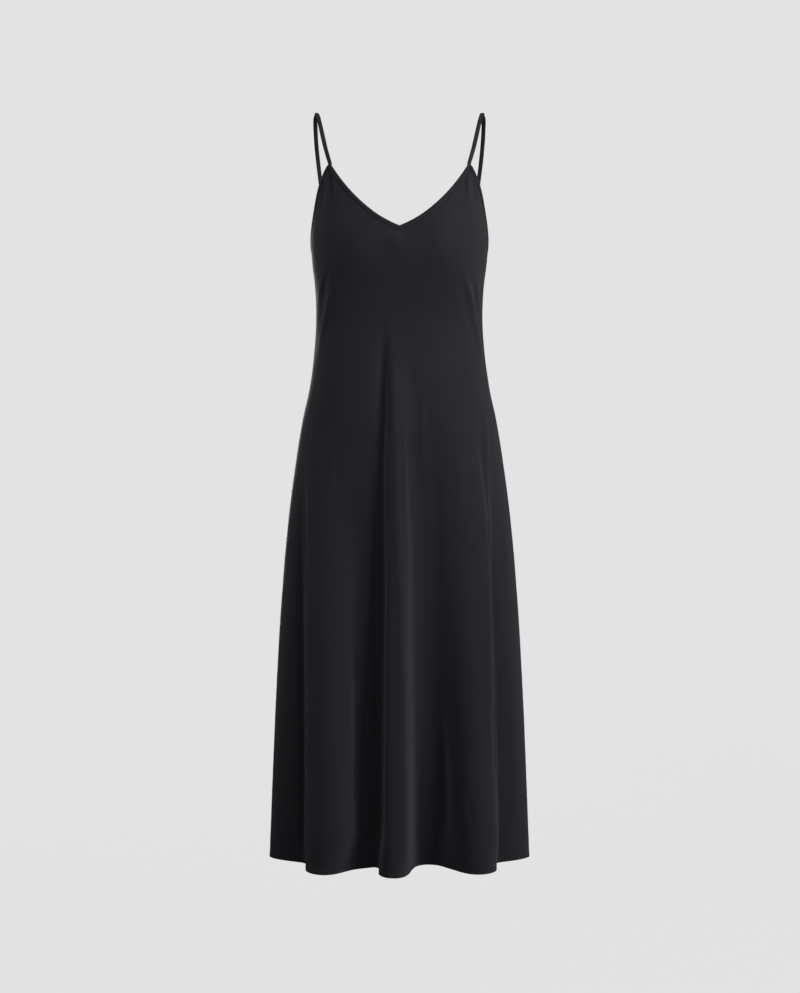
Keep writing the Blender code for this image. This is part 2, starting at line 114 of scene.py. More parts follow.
# The powers that shape the flank of a steep fold and of a soft one.
FLANK_REACH = (1.6, 1.0)
FLANK_FALL = (0.8, 2.0)

# The soft fullness over each side of the bust: its middle, its spread and its rise.
BUST_MIDDLE = (0.066, -0.215)
BUST_SPREAD = (0.036, 0.042)
BUST_RISE = 0.006

# Creases of the cloth, laid on that form. Each runs from a place (x0, z0) to another
# (x1, z1) with a sideways bow, falls away over a width on its left and on its right, and rises
# above the cloth, or sinks below it where rise is negative. fade_in and fade_out are the shares of
# its length over which it comes and goes. The rows are in millimetres, a Crease is in metres.
Crease = namedtuple("Crease", "x0 z0 x1 z1 bow left right rise fade_in fade_out")
FRONT_CREASES = (
    # gathers below the left-hand strap, then below the right-hand one
    (-107.8, -104, -102, -168, 1, 3.2, 3.4, -3, 0.1, 0.8),
    (-101, -108, -93, -172, 2, 5, 6, 1, 0.2, 0.8),
    (-113, -108, -111, -170, 1, 3, 3, 1, 0.2, 0.8),
    (-119, -118, -118.5, -172, -2, 3.5, 4, -1.8, 0.2, 0.7),
    (106.6, -104, 106.6, -160, 1, 3, 3, 1.6, 0.1, 0.8),
    (101, -108, 97.5, -166, 2, 3.6, 4, -1.8, 0.2, 0.8),
    (113.5, -110, 115, -160, 2, 3.6, 3.6, -1.6, 0.2, 0.7),
    # the cloth just below the V, pulled forward
    (-5, -204, -5, -256, 0, 16, 16, 4.4, 0.4, 0.9),
    (-8, -199, -8, -228, 0, 22, 15, 2.8, 0.3, 0.7),
    # the flatter front of the torso, left and right
    (-108, -200, -112, -500, 0, 20, 32, 5, 0.3, 0.4),
    (108, -220, 112, -480, 0, 32, 20, 3, 0.3, 0.4),
    # drag lines from the bust down to the side seams
    (-115, -250, -126, -324, -2, 2.6, 3.4, 1.5, 0.4, 0.5),
    (-108, -242, -121.5, -352, -2, 6, 5, -3, 0.4, 0.5),
    (-94, -260, -127, -400, -3, 3, 4.5, 2.2, 0.3, 0.4),
    (-94, -290, -118, -396, -3, 6, 7, -0.8, 0.5, 0.5),
    (98.5, -256, 129, -410, 4, 4.8, 3, 2.8, 0.3, 0.3),
    (114, -248, 126, -340, 2, 3.4, 2.6, 1.7, 0.4, 0.4),
    (109, -252, 124.5, -360, 2, 4, 4, -2.2, 0.4, 0.5),
    (90, -262, 116, -390, 4, 7, 6, -1, 0.4, 0.5),
    (118, -370, 142, -460, 2, 8, 6, 1.6, 0.4, 0.5),
    # the valley left of the centre fold
    (-25.5, -308, -31.5, -600, 0, 7.5, 8.5, -5.8, 0.5, 0.5),
    (-33, -420, -43, -1184, 0, 18, 11.5, -8, 0.5, 0.1),
    (-27.5, -560, -34, -1184, 0, 7, 8, -4, 0.4, 0.1),
    # the ridge along the right-hand edge of the centre fold, and the cloth beside it
    (-11, -320, -0.5, -820, 0, 8, 8, 3.6, 0.3, 0.3),
    (0.5, -660, 9, -1184, 0, 6, 7, 3, 0.4, 0.1),
    (10.5, -360, 17, -720, 0, 3.6, 6.5, -2.3, 0.4, 0.5),
    (33, -400, 37, -640, 1, 6, 7, 1.8, 0.4, 0.5),
    # the left-hand fold: the thin ridge of its edge, and its flat face
    (-152, -630, -142.5, -1184, 1, 3, 4, 1.6, 0.4, 0.1),
    (-156, -560, -150, -1184, 1, 6, 5, -3.6, 0.4, 0.1),
    (-135, -600, -133.5, -830, 1, 4, 4, 1, 0.5, 0.5),
    (-91, -560, -87, -1184, 1, 36, 15, 9.5, 0.7, 0.1),
    (-99.3, -490, -100, -620, 1, 5, 6, -1.1, 0.5, 0.5),
    (-113, -440, -118, -640, 1, 6, 8, -0.9, 0.5, 0.6),
    (-56, -640, -82, -1180, 0, 48, 17, 5, 0.4, 0.1),
    # the valley right of the centre fold, with short wrinkles near the hem
    (56, -460, 62, -940, -2, 8, 11, -2.2, 0.4, 0.6),
    (62, -860, 74, -1170, -3, 6, 9, -3, 0.5, 0.3),
    (40, -880, 43, -1184, 1, 11, 12, 5, 0.5, 0.1),
    (60, -880, 63, -1184, 1, 14, 15, -3.4, 0.5, 0.1),
    (87, -1030, 90, -1120, 2, 3.4, 4, -1.8, 0.5, 0.6),
    (105, -1050, 108, -1130, 2, 3.4, 4, -1.4, 0.5, 0.5),
    # the right-hand fold: its squared edge, and the side beyond it
    (134, -450, 141, -900, 2, 5, 3.5, 2.2, 0.2, 0.4),
    (140, -720, 149, -1184, 1, 10, 5, 4.8, 0.5, 0.1),
    (126, -470, 132, -680, 1, 5, 6, -0.8, 0.4, 0.6),
    (166, -560, 170, -820, 1, 6, 7, 1.2, 0.5, 0.5),
    (176, -820, 184, -1160, 1, 8, 9, 1.4, 0.5, 0.3),
)
BACK_CREASES = (
    # gathers below the back straps
    (-115, -188, -110, -248, 1, 3.5, 4.5, -2, 0.1, 0.7),
    (-106, -193, -98, -256, 2, 4.5, 6, 1.1, 0.2, 0.8),
    (114, -188, 110, -242, 1, 3.5, 4.5, 1.4, 0.1, 0.7),
    (105, -194, 96, -262, 2, 5, 5.5, -1.8, 0.2, 0.8),
    # drag lines across the back of the waist
    (-106, -256, -123, -356, -3, 5.5, 6, -2.4, 0.4, 0.5),
    (-90, -286, -120, -380, -4, 7, 8, 1.6, 0.4, 0.5),
    (109, -260, 123, -342, 3, 5, 6, -2.2, 0.4, 0.5),
    (84, -296, 120, -390, 4, 8, 7, 1.5, 0.4, 0.5),
    (-50, -330, 46, -342, -6, 11, 14, -1.8, 0.6, 0.6),
    (-62, -364, 38, -376, -8, 12, 14, 1.4, 0.6, 0.6),
    # the edges of the back folds
    (-130, -520, -139, -1184, 1, 4, 6, 2, 0.3, 0.1),
    (28, -500, 38, -1184, 1, 6, 4, 2.4, 0.3, 0.1),
    (130, -530, 143, -1184, 1, 6, 4, 2.2, 0.3, 0.1),
    (68, -560, 72, -1160, 2, 12, 14, -2.8, 0.5, 0.3),
    (-70, -560, -73, -1170, 2, 10, 12, -2.6, 0.5, 0.3),
    (-40, -470, -44, -720, 2, 8, 10, 1.4, 0.5, 0.5),
    (-62, -1030, -56, -1150, 2, 5, 6, -1.8, 0.5, 0.5),
    (82, -970, 88, -1090, 2, 5, 6, -1.8, 0.5, 0.5),
)
CREASES = {FRONT: FRONT_CREASES, BACK: BACK_CREASES}

# Where the cloth is pushed along instead of out: the same rows, but rise is sideways, to +X.
FRONT_SLIDES = (
    (127, -500, 133, -1040, 0, 16, 7.5, 8, 0.3, 0.4),
    (-70, -540, -74, -880, 0, 22, 20, 6, 0.5, 0.5),
    (-72, -920, -72, -1184, 0, 20, 20, -5.5, 0.5, 0.4),
)
SLIDES = {FRONT: FRONT_SLIDES, BACK: ()}

# The strap's centre line from the front apex to the back apex.
STRAP_FRONT = (
    (0.1157, -0.0600, -0.0637),
    (0.1202, -0.0510, -0.0450),
    (0.1248, -0.0390, -0.0240),
    (0.1290, -0.0260, -0.0070),
)
STRAP_BACK = (
    (0.1348, 0.0080, -0.0040),
    (0.1355, 0.0250, -0.0160),
    (0.1348, 0.0430, -0.0390),
    (0.1323, 0.0600, -0.0680),
    (0.1280, 0.0720, -0.1050),
    (0.1228, 0.0750, -0.1450),
)
# The level stretch on top of the shoulder: its x, and its y from front to back.
STRAP_TOP_X = 0.1322
STRAP_SEAT = (-0.0130, -0.0050)

# The steps of the searches, of the measuring and of the meshes.
ROOT_STEPS = 36  # how often the search for a root halves its range
SURFACE_STEP = 1e-4  # the step over which the surface's directions are measured
APEX_COLUMN = math.radians(3)  # from a strap's line to the next one
SEAM_COLUMN = math.radians(1.2)  # from a side seam to the next line
BAND_STEP = 0.0016  # between the rings of a binding
BAND_SAMPLES = 400  # places at which a seam is measured
FEWEST_STEPS = 8
STRAP_STEPS = 10

SECTION_HEIGHTS = np.array(SECTIONS)[:, 0]
SECTION_VALUES = np.array(SECTIONS)[:, 1:]
SECTION_SLOPES = np.gradient(SECTION_VALUES, SECTION_HEIGHTS, axis=0)


# The form, as in the solids.


def curve_between(start, end, start_slope, end_slope, part):
    """The value a part of the way along a smooth curve between two values with given slopes."""
    return (
        start * (2 * part**3 - 3 * part**2 + 1)
        + end * (3 * part**2 - 2 * part**3)
        + start_slope * (part**3 - 2 * part**2 + part)
        + end_slope * (part**3 - part**2)
    )


def section_at(height):
    """The body's measures at any height, on smooth curves through the table's rows."""
    above = np.clip(np.searchsorted(SECTION_HEIGHTS, height), 1, len(SECTIONS) - 1)
    below = above - 1
    span = (SECTION_HEIGHTS[above] - SECTION_HEIGHTS[below])[..., None]
    part = np.clip((height - SECTION_HEIGHTS[below])[..., None] / span, 0, 1)
    slopes = SECTION_SLOPES[below] * span, SECTION_SLOPES[above] * span
    values = curve_between(SECTION_VALUES[below], SECTION_VALUES[above], *slopes, part)
    return np.moveaxis(values, -1, 0)


def fold_flank(distance, width, soft):
    """How high a fold stands, from 1 at its crest to 0 at its foot."""
    reach_power, fall_power = (
        steep + soft * (gentle - steep) for steep, gentle in (FLANK_REACH, FLANK_FALL)
    )
    reach = np.clip(distance / width, 0, 1) ** reach_power
    return np.clip(np.cos(math.pi / 2 * reach), 0, 1) ** fall_power


def on_fold(fold, x, height):
    """How far down a fold a place is, how far it is from the crest, and the fold's scale there."""
    down = np.clip((fold.start - height) / (fold.start - HEM), 0, PAST_HEM)
    from_crest = x - (fold.x_start + (fold.x_hem - fold.x_start) * down)
    return down, from_crest, 1 - FOLD_NARROWING * (1 - down)


def fold_rise(side, x, height):
    """How far the folds of one side push the cloth out."""
    total = 0
    for fold in FOLDS:
        if fold.side != side:
            continue
        down, from_crest, scale = on_fold(fold, x, height)
        flank = np.where(
            from_crest < 0,
            fold_flank(-from_crest, fold.left * scale, fold.left_soft),
            fold_flank(from_crest, fold.right * scale, fold.right_soft),
        )
        total += fold.rise * down**fold.growth * flank
    return total


def bust_rise(x, height):
    """How far the soft fullness over the bust pushes the front out."""
    across = (np.abs(x) - BUST_MIDDLE[0]) / BUST_SPREAD[0]
    upward = (height - BUST_MIDDLE[1]) / BUST_SPREAD[1]
    return BUST_RISE * np.exp(-(across**2) - upward**2)


def body_point(angle, height):
    """The outside of the cloth at an angle around the body and a height."""
    angle, height = np.broadcast_arrays(np.asarray(angle, float), np.asarray(height, float))
    half_width, front, back, front_power, back_power = section_at(height)
    ahead = np.cos(angle) >= 0
    power = np.where(ahead, front_power, back_power)
    across, along = np.sin(angle), np.abs(np.cos(angle))
    reach = (np.abs(across) ** power + along**power) ** (-1 / power)
    x = half_width * across * reach
    ahead_out = front * along * reach + fold_rise(FRONT, x, height) + bust_rise(x, height)
    behind_out = back * along * reach + fold_rise(BACK, x, height)
    return np.stack([x, np.where(ahead, -ahead_out, behind_out), height], axis=-1)


def surface_directions(angle, height):
    """How body_point moves with the angle and with the height."""
    step = SURFACE_STEP
    around = body_point(angle + step, height) - body_point(angle - step, height)
    upward = body_point(angle, height + step) - body_point(angle, height - step)
    return around / (2 * step), upward / (2 * step)


def unit(vectors):
    return vectors / np.linalg.norm(vectors, axis=-1, keepdims=True)


def arc_along(paths):
    """The distance from the start of each path to each of its points."""
    steps = np.linalg.norm(np.diff(paths, axis=-2), axis=-1)
    return np.pad(np.cumsum(steps, axis=-1), [(0, 0)] * (steps.ndim - 1) + [(1, 0)])


def body_normal(angle, height):
    """The outward direction of body_point's surface."""
    return unit(np.cross(*surface_directions(angle, height)))


def moved_along(angle, height, move):
    """The angle and height reached from a place by a short move along the surface."""
    around, upward = surface_directions(angle, height)
    square = np.cross(around, upward)
    size = np.sum(square * square, axis=-1)
    turn = np.sum(np.cross(move, upward) * square, axis=-1) / size
    climb = np.sum(np.cross(around, move) * square, axis=-1) / size
    return angle + turn, height + climb


def root_of(function, low, high):
    """Where a function that rises through zero between low and high is zero."""
    for _ in range(ROOT_STEPS):
        middle = (low + high) / 2
        over = function(middle) > 0
        high = np.where(over, middle, high)
        low = np.where(over, low, middle)
    return (low + high) / 2


def angle_at_x(side, x, height):
    """The angle at which the front or the back is x from the centre plane."""
    middle = 0 if side == FRONT else math.pi
    low = np.full(np.shape(height), middle - math.pi / 2)
    return root_of(
        lambda angle: side * (body_point(angle, height)[..., 0] - x), low, low + math.pi
    )


def with_tip(top):
    """A Top with its tip's angle and y filled in."""
    angle = float(angle_at_x(top.side, top.tip_x, top.tip_z))
    return top._replace(tip_angle=angle, tip_y=float(body_point(angle, top.tip_z)[1]))


def seam_height(top, angle):
    """The height of a panel's top edge at an angle."""
    straight = top.slope * top.tip_x
    curved = top.tip_z - top.centre - straight

    def above_edge(height):
        point = body_point(angle, height)
        out = np.abs(point[..., 0]) / top.tip_x
        near = np.clip(1 - np.abs(point[..., 0]) / EASE_WIDTH, 0, None)
        neck = top.centre + top.ease * near**2 + straight * out + curved * out**top.power
        deep = np.clip(point[..., 1] / top.tip_y, 0, None)
        armhole = UNDERARM + (top.tip_z - UNDERARM) * deep**ARM_POWER
        return height - np.minimum(neck, armhole)

    low = np.full(np.shape(angle), LEVEL_BELOW)
    return root_of(above_edge, low, np.full(np.shape(angle), top.apex))


# The cloth's own unevenness.


def smooth_step(share):
    share = np.clip(share, 0, 1)
    return share * share * (3 - 2 * share)


def in_metres(row):
    """A Crease from a row of its table."""
    return Crease(*(size / 1000 for size in row[:-2]), *row[-2:])


def crease_rise(rows, x, z):
    """How far rows of creases move the cloth."""
    total = np.zeros(np.shape(x))
    for crease in map(in_metres, rows):
        run = np.array([crease.x1 - crease.x0, crease.z1 - crease.z0])
        length = math.hypot(*run)
        across = np.array([-run[1], run[0]]) / length
        down = ((x - crease.x0) * run[0] + (z - crease.z0) * run[1]) / length**2
        off = (x - crease.x0) * across[0] + (z - crease.z0) * across[1]
        off -= crease.bow * np.sin(math.pi * np.clip(down, 0, 1))
        width = np.where(off < 0, crease.left, crease.right)
        body = np.exp(-((off / width) ** 2))
        fade = smooth_step(down / crease.fade_in) * smooth_step((1 - down) / crease.fade_out)
        total += crease.rise * body * fade
    return total


SEED_SHIFT = (1, 1.7, 0.3)  # the direction in which a seed moves the noise


def noise_at(points, scale, seed):
    """Smooth noise from -1 to 1 at each point, with scale waves in a metre of x, y and z."""
    shift = Vector([seed * part for part in SEED_SHIFT])
    places = (points * scale).reshape(-1, 3)
    values = [noise.noise(Vector(place) + shift) for place in places]
    return np.array(values).reshape(points.shape[:-1])


# Panels.

# A line down a panel: its angle at the top, how many columns of points there are up to the next
# line and, for a line along a fold, its x where the folds begin to matter and at the hem.
Line = namedtuple("Line", "top_angle columns turn_x hem_x", defaults=(None, None))


def front_lines(tip):
    """The lines down the front, from the left-hand side seam."""
    return (
        Line(-math.pi / 2, 2),
        Line(-math.pi / 2 + SEAM_COLUMN, 26),
        Line(-tip, 26, -0.1512, -0.1508),
        Line(-tip + APEX_COLUMN, 46, -0.1440, -0.1440),
        Line(math.radians(-13), 8, -0.0310, -0.0368),
        Line(math.radians(-11), 36, -0.0275, -0.0330),
        Line(0, 34, -0.0060, -0.0080),
        Line(math.radians(12), 62, 0.0200, 0.0250),
        Line(tip - APEX_COLUMN, 24, 0.1300, 0.1490),
        Line(tip, 26, 0.1360, 0.1548),
        Line(math.pi / 2 - SEAM_COLUMN, 2),
        Line(math.pi / 2, 0),
    )


def back_lines(tip):
    """The lines down the back, from the right-hand side seam."""
    return (
        Line(math.pi / 2, 2),
        Line(math.pi / 2 + SEAM_COLUMN, 28),
        Line(tip, 18, 0.1380, 0.1520),
        Line(tip + APEX_COLUMN, 54, 0.1320, 0.1460),
        Line(math.pi - math.radians(14), 10, 0.0360, 0.0480),
        Line(math.pi - math.radians(11), 40, 0.0310, 0.0420),
        Line(math.pi + math.radians(7), 66, -0.0080, -0.0150),
        Line(2 * math.pi - tip - APEX_COLUMN, 20, -0.1280, -0.1400),
        Line(2 * math.pi - tip, 28, -0.1340, -0.1464),
        Line(3 * math.pi / 2 - SEAM_COLUMN, 2),
        Line(3 * math.pi / 2, 0),
    )


# Rows: the turned hem's edge and its stitching need fine ones.
HEM_DEPTH = 0.0085  # from the edge to the hem's stitching
HEM_LAYERS = 1.4  # how much thicker the turned hem is, in layers of cloth
HEM_ROWS = (0.0, 0.0005, 0.0015, 0.0040, 0.0065, 0.0078, 0.0085, 0.0092, 0.0105, 0.0130)
LEVEL_ROWS = 104
UPPER_ROWS = 50
FINE_STEPS = 6


def line_angles(side, line, heights):
    """A line's angle at each height."""
    if line.turn_x is None:
        return np.full(len(heights), line.top_angle)
    low = np.minimum(heights, COLUMNS_TURN)
    up = (low - HEM) / (COLUMNS_TURN - HEM)
    folded = angle_at_x(side, line.hem_x + up * (line.turn_x - line.hem_x), low)
    turned = smooth_step((heights - COLUMNS_TURN) / (LEVEL_BELOW - COLUMNS_TURN))
    return folded + turned * (line.top_angle - folded)


def evenly_between(left, right, heights, columns):
    """The angles of columns between two lines, evenly spaced along the cloth in each row."""
    fine = np.linspace(left, right, FINE_STEPS * columns + 1, axis=1)
    arcs = arc_along(body_point(fine, heights[:, None]))
    shares = np.arange(columns) / columns
    return np.array([np.interp(shares * arc[-1], arc, row) for arc, row in zip(arcs, fine)])


def panel_grid(top, lines):
    """The angles and heights of a panel's points, by row from the hem and by column."""
    first = HEM + HEM_ROWS[-1]
    level = np.concatenate(
        [HEM + np.array(HEM_ROWS[:-1]), np.linspace(first, LEVEL_BELOW, LEVEL_ROWS + 1)]
    )
    along_lines = [line_angles(top.side, line, level) for line in lines]
    spans = [
        evenly_between(along_lines[index], along_lines[index + 1], level, lines[index].columns)
        for index in range(len(lines) - 1)
    ]
    angles = np.hstack([*spans, along_lines[-1][:, None]])
    edge = seam_height(top, angles[-1])
    rise = np.linspace(0, 1, UPPER_ROWS + 1)[1:, None]
    heights = np.vstack(
        [level[:, None] * np.ones(len(edge)), LEVEL_BELOW + rise * (edge - LEVEL_BELOW)]
    )
    return np.vstack([angles, *[angles[-1]] * UPPER_ROWS]), heights


def grid_normals(points):
    """The outward direction at each point of a grid, from the faces around it."""
    across = points[1:, 1:] - points[:-1, :-1]
    upward = points[1:, :-1] - points[:-1, 1:]
    faces = np.pad(unit(np.cross(across, upward)), ((1, 1), (1, 1), (0, 0)), mode="edge")
    return unit(faces[:-1, :-1] + faces[:-1, 1:] + faces[1:, :-1] + faces[1:, 1:])


# How the steep edges of the folds lean.
OVERHANG = 0.0052  # how far a fold's steep edge leans out over its own foot
SHOULDER = 0.5  # the share of its height above which the edge leans back
SHOULDER_SHARE = 0.6  # and how much of the overhang it leans back there
STEEP = 0.4  # the softest flank that leans at all
LEAN_GROWTH = 0.5  # the share of a fold's length over which its lean grows


def leaning_folds(side, form):
    """Moves the steep flanks of the folds sideways, so that each edge stands over its foot."""
    x, z = form[..., 0], form[..., 2]
    moved = crease_rise(SLIDES[side], x, z)
    for fold in FOLDS:
        down, from_crest, scale = on_fold(fold, x, z)
        for way, width, soft in ((-1, fold.left, fold.left_soft), (1, fold.right, fold.right_soft)):
            if fold.side != side or soft > STEEP:
                continue
            flank = fold_flank(np.clip(way * from_crest, 0, None), width * scale, soft)
            lean = -np.sin(2 * math.pi * flank) * np.where(flank > SHOULDER, SHOULDER_SHARE, 1)
            lean = lean * (1 - soft / STEEP) * smooth_step(down / LEAN_GROWTH)
            moved += way * OVERHANG * lean
    form[..., 0] += moved
    return form


SOFTENING = 5  # passes that round the feet of the folds
SOFT_SHARE = 0.5
SOFT_REACH = 0.15  # the height over which the rounding sets in


def soft_feet(form):
    """Evens out each row below the waist a little, so that no fold has a sharp foot."""
    share = SOFT_SHARE * smooth_step((LEVEL_BELOW - form[:, 1:-1, 2:]) / SOFT_REACH)
    for _ in range(SOFTENING):
        middle = (form[:, :-2] + form[:, 2:]) / 2
        form[:, 1:-1] += share * (middle - form[:, 1:-1])
    return form


# Ripples and puckers: how far they rise, how many there are in a metre of x, y and z, and a seed.
Ripples = namedtuple("Ripples", "rise scale seed")
BROAD_RIPPLES = Ripples(0.0008, (26, 26, 6), 3.0)
FINE_RIPPLES = Ripples(0.00016, (90, 90, 30), 9.0)
TORSO_SHARE = 0.35  # how much of the broad ripples there is on the torso
SKIRT_REACH = 0.35  # the height over which they grow below it
SIDE_FADE = 0.012  # creases and ripples fade out at the side seams and at the bindings
TOP_FADE = 0.007
# A seam: how far from the edge its stitching is, how wide and how deep the cloth dips there, and
# the puckers beside it with their own distance from the edge.
Seam = namedtuple("Seam", "place reach dip pucker_place puckers")
SIDE_SEAM = Seam(0, 0.0016, 0.0006, 0.0040, Ripples(0.00045, (0, 0, 210), 21.0))
HEM_SEAM = Seam(HEM_DEPTH, 0.0009, 0.0002, 0.0042, Ripples(0.0004, (190, 190, 0), 33.0))
PUCKER_SPREAD = 0.003
PANEL_SEAM_REACH = 0.0018  # the cloth rolls in where a binding is sewn on
PANEL_SEAM_DIP = 0.0009
TUCK = 0.0013  # how far the cloth reaches up into its bindings, and in
TUCK_IN = 0.0001


def ripple_rise(row, side, form):
    """Ripples from a row, up and down."""
    return row.rise * noise_at(form, row.scale, row.seed + side)


def pucker_rise(row, side, form):
    """Puckers from a row, upwards alone."""
    return (row.rise + ripple_rise(row, side, form)) / 2


def hump(distance, middle, spread):
    """A smooth hump of height 1."""
    return np.exp(-(((distance - middle) / spread) ** 2))


def unevenness(side, form, from_side, from_top):
    """How far the cloth of one side stands off its form: creases, ripples, seams and hem."""
    x, z = form[..., 0], form[..., 2]
    low = smooth_step((LEVEL_BELOW - z) / SKIRT_REACH)
    rise = crease_rise(CREASES[side], x, z)
    rise += ripple_rise(BROAD_RIPPLES, side, form) * (TORSO_SHARE + (1 - TORSO_SHARE) * low)
    rise += ripple_rise(FINE_RIPPLES, side, form)
    rise = rise * smooth_step(from_side / SIDE_FADE) * smooth_step(from_top / TOP_FADE)
    for seam, distance in ((SIDE_SEAM, from_side), (HEM_SEAM, z - HEM)):
        rise -= seam.dip * hump(distance, seam.place, seam.reach)
        puckered = hump(distance, seam.pucker_place, PUCKER_SPREAD)
        rise += pucker_rise(seam.puckers, side, form) * puckered
    return rise - PANEL_SEAM_DIP * hump(from_top, 0, PANEL_SEAM_REACH)


def panel_surface(top, lines):
    """The outside of a panel with its creases, hem and seams, and its flat places in metres."""
    angles, heights = panel_grid(top, lines)
    form = soft_feet(leaning_folds(top.side, body_point(angles, heights)))
    normals = grid_normals(form)
    arc = arc_along(form)
    from_side = np.minimum(arc, arc[:, -1:] - arc)
    from_top = arc_along(form[::-1].swapaxes(0, 1)).T[::-1]
    rise = unevenness(top.side, form, from_side, from_top)
    outside = form + rise[..., None] * normals
    edge_out = seam_directions(angles[-1], heights[-1])[1]
    tucked = outside[-1] + TUCK * edge_out - TUCK_IN * normals[-1]
    outside = np.concatenate([outside, tucked[None]])
    flat = np.stack([arc - arc[:, arc.shape[1] // 2, None], form[..., 2]], axis=-1)
    return outside, np.concatenate([flat, flat[-1:] + (0, TUCK)])


def add_object(name, data):
    """A new object in the scene."""
    item = bpy.data.objects.new(name, data)
    bpy.context.scene.collection.objects.link(item)
    return item


def new_piece(name, points, faces, material, places=None):
    """A smooth mesh piece on the root body. The flat places of its cloth are its UV map."""
    mesh = bpy.data.meshes.new(name)
    mesh.from_pydata(points.tolist(), [], faces)
    mesh.validate()
    mesh.shade_smooth()
    if places is not None:
        layer = mesh.uv_layers.new(name="cloth")
        corners = np.empty(len(mesh.loops), np.int32)
        mesh.loops.foreach_get("vertex_index", corners)
        layer.data.foreach_set("uv", places[corners].astype(np.float32).ravel())
    mesh.materials.append(material)
    item = add_object(name, mesh)
    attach(item, ROOT)
    return item


def quads_between(index, beside):
    """The faces between columns of points and the columns beside them."""
    return np.stack([index[:-1], beside[:-1], beside[1:], index[1:]], axis=-1).reshape(-1, 4)


HEM_STEP = 0.0007  # the height over which the hem's layers begin


def shell(name, outside, flat, material):
    """A closed thin shell under a grid of outer points."""
    normals = grid_normals(outside)
    normals[:, (0, -1), 1] = 0
    turned = smooth_step((HEM_DEPTH - (outside[..., 2:] - HEM)) / HEM_STEP)
    inside = outside - CLOTH_THICKNESS * (1 + HEM_LAYERS * turned) * unit(normals)
    rows, columns = outside.shape[:2]
    count = rows * columns
    index = np.arange(count).reshape(rows, columns)
    quads = quads_between(index[:, :-1], index[:, 1:])
    rim = np.concatenate([index[0], index[1:, -1], index[-1, -2::-1], index[-2:0:-1, 0]])
    beside = np.roll(rim, -1)
    edge = np.stack([beside, rim, rim + count, beside + count], axis=-1)
    faces = np.concatenate([quads, quads[:, ::-1] + count, edge])
    points = np.concatenate([outside.reshape(-1, 3), inside.reshape(-1, 3)])
    places = np.tile(flat.reshape(-1, 2), (2, 1))
    return new_piece(name, points, faces.tolist(), material, places)


# Bindings: folded strips with a rounded free edge, sewn down along the panel's edge.

# The section of a binding, from its seam outside, over the fold, to its seam inside, as shares
# of its width from the seam and of the solid's thickness from the outside.
BAND_PROFILE = (
    (0.00, 0.46), (0.01, 0.30), (0.05, 0.14), (0.12, 0.02), (0.24, -0.06), (0.40, -0.10),
    (0.56, -0.09), (0.70, -0.04), (0.82, 0.04), (0.91, 0.15), (0.97, 0.29), (1.00, 0.46),
    (0.97, 0.62), (0.90, 0.74), (0.78, 0.82), (0.60, 0.86), (0.40, 0.86), (0.20, 0.84),
    (0.08, 0.78), (0.01, 0.64),
)


def seam_directions(angles, heights):
    """Along a seam, and across it in the surface, away from the panel."""
    along = unit(np.gradient(body_point(angles, heights), axis=0))
    across = unit(np.cross(along, body_normal(angles, heights)))
    return along, across * np.where(across[:, 2:] < 0, -1, 1)


def even_angles(top, start, end):
    """Angles along a seam about BAND_STEP apart."""
    angles = np.linspace(start, end, BAND_SAMPLES)
    arc = arc_along(body_point(angles, seam_height(top, angles)))
    count = max(FEWEST_STEPS, int(round(arc[-1] / BAND_STEP)))
    return np.interp(np.linspace(0, arc[-1], count + 1), arc, angles)


def band_corners(angles, heights, near, far):
    """The solid's four corners at each place of a seam: outer and inner, near and far."""
    corners = []
    for move in (near, far):
        place = moved_along(angles, heights, move)
        normal = body_normal(*place)
        outer = body_point(*place) + BINDING_PROUD * normal
        corners += [outer, outer - (SOLID_WALL + 2 * BINDING_PROUD) * normal]
    return np.stack(corners, axis=1)


def level_corners(corners, along, height):
    """Corners slid along a direction to one height."""
    return corners + along * ((height - corners[:, 2:]) / along[2])


def apex_corners(top, angle, height, up, across):
    """The end of the armhole binding, at the height where the strap takes over."""
    moves = []
    for distance in (SEAM_GAP, BINDING_WIDTH):
        rest = top.apex - height - distance * across[2]
        moves.append((distance * across + rest / up[2] * up)[None])
    corners = band_corners(np.array([angle]), np.array([height]), *moves)[0]
    return level_corners(corners, up, top.apex)


APEX_RINGS = 9  # from an armhole binding's seam to the strap
TIP_RINGS = 5  # before that, where it begins to swell
END_SWELL = 0.22  # how much thicker it is over the end of the neck binding
TIP_SWELL = 0.6  # the share of that which it has reached at the end of its seam
STRAP_OVERLAP = 0.0015  # how far its own end reaches up inside the strap
# How large its last rings are: inside the strap's edge, and at its hidden end.
END_SIZES = (0.92, 0.6)


def ring_around(centre, wide, thick):
    """A binding's four corners around a centre: outer and inner, near and far."""
    return centre + np.array([thick - wide, -thick - wide, thick + wide, wide - thick])


def wide_of(corners):
    """Half of the way from a binding's near corners to its far ones."""
    return (corners[2:].mean(axis=0) - corners[:2].mean(axis=0)) / 2


def thick_of(corners):
    """Half of the way from a binding's inner corners to its outer ones."""
    return (corners[::2].mean(axis=0) - corners[1::2].mean(axis=0)) / 2


def turned_across(first, last, part, direction):
    """A part of the way from one direction to another, square to the direction of a path."""
    across = (1 - part) * first + part * last
    return unit(across - np.dot(across, direction) * direction)


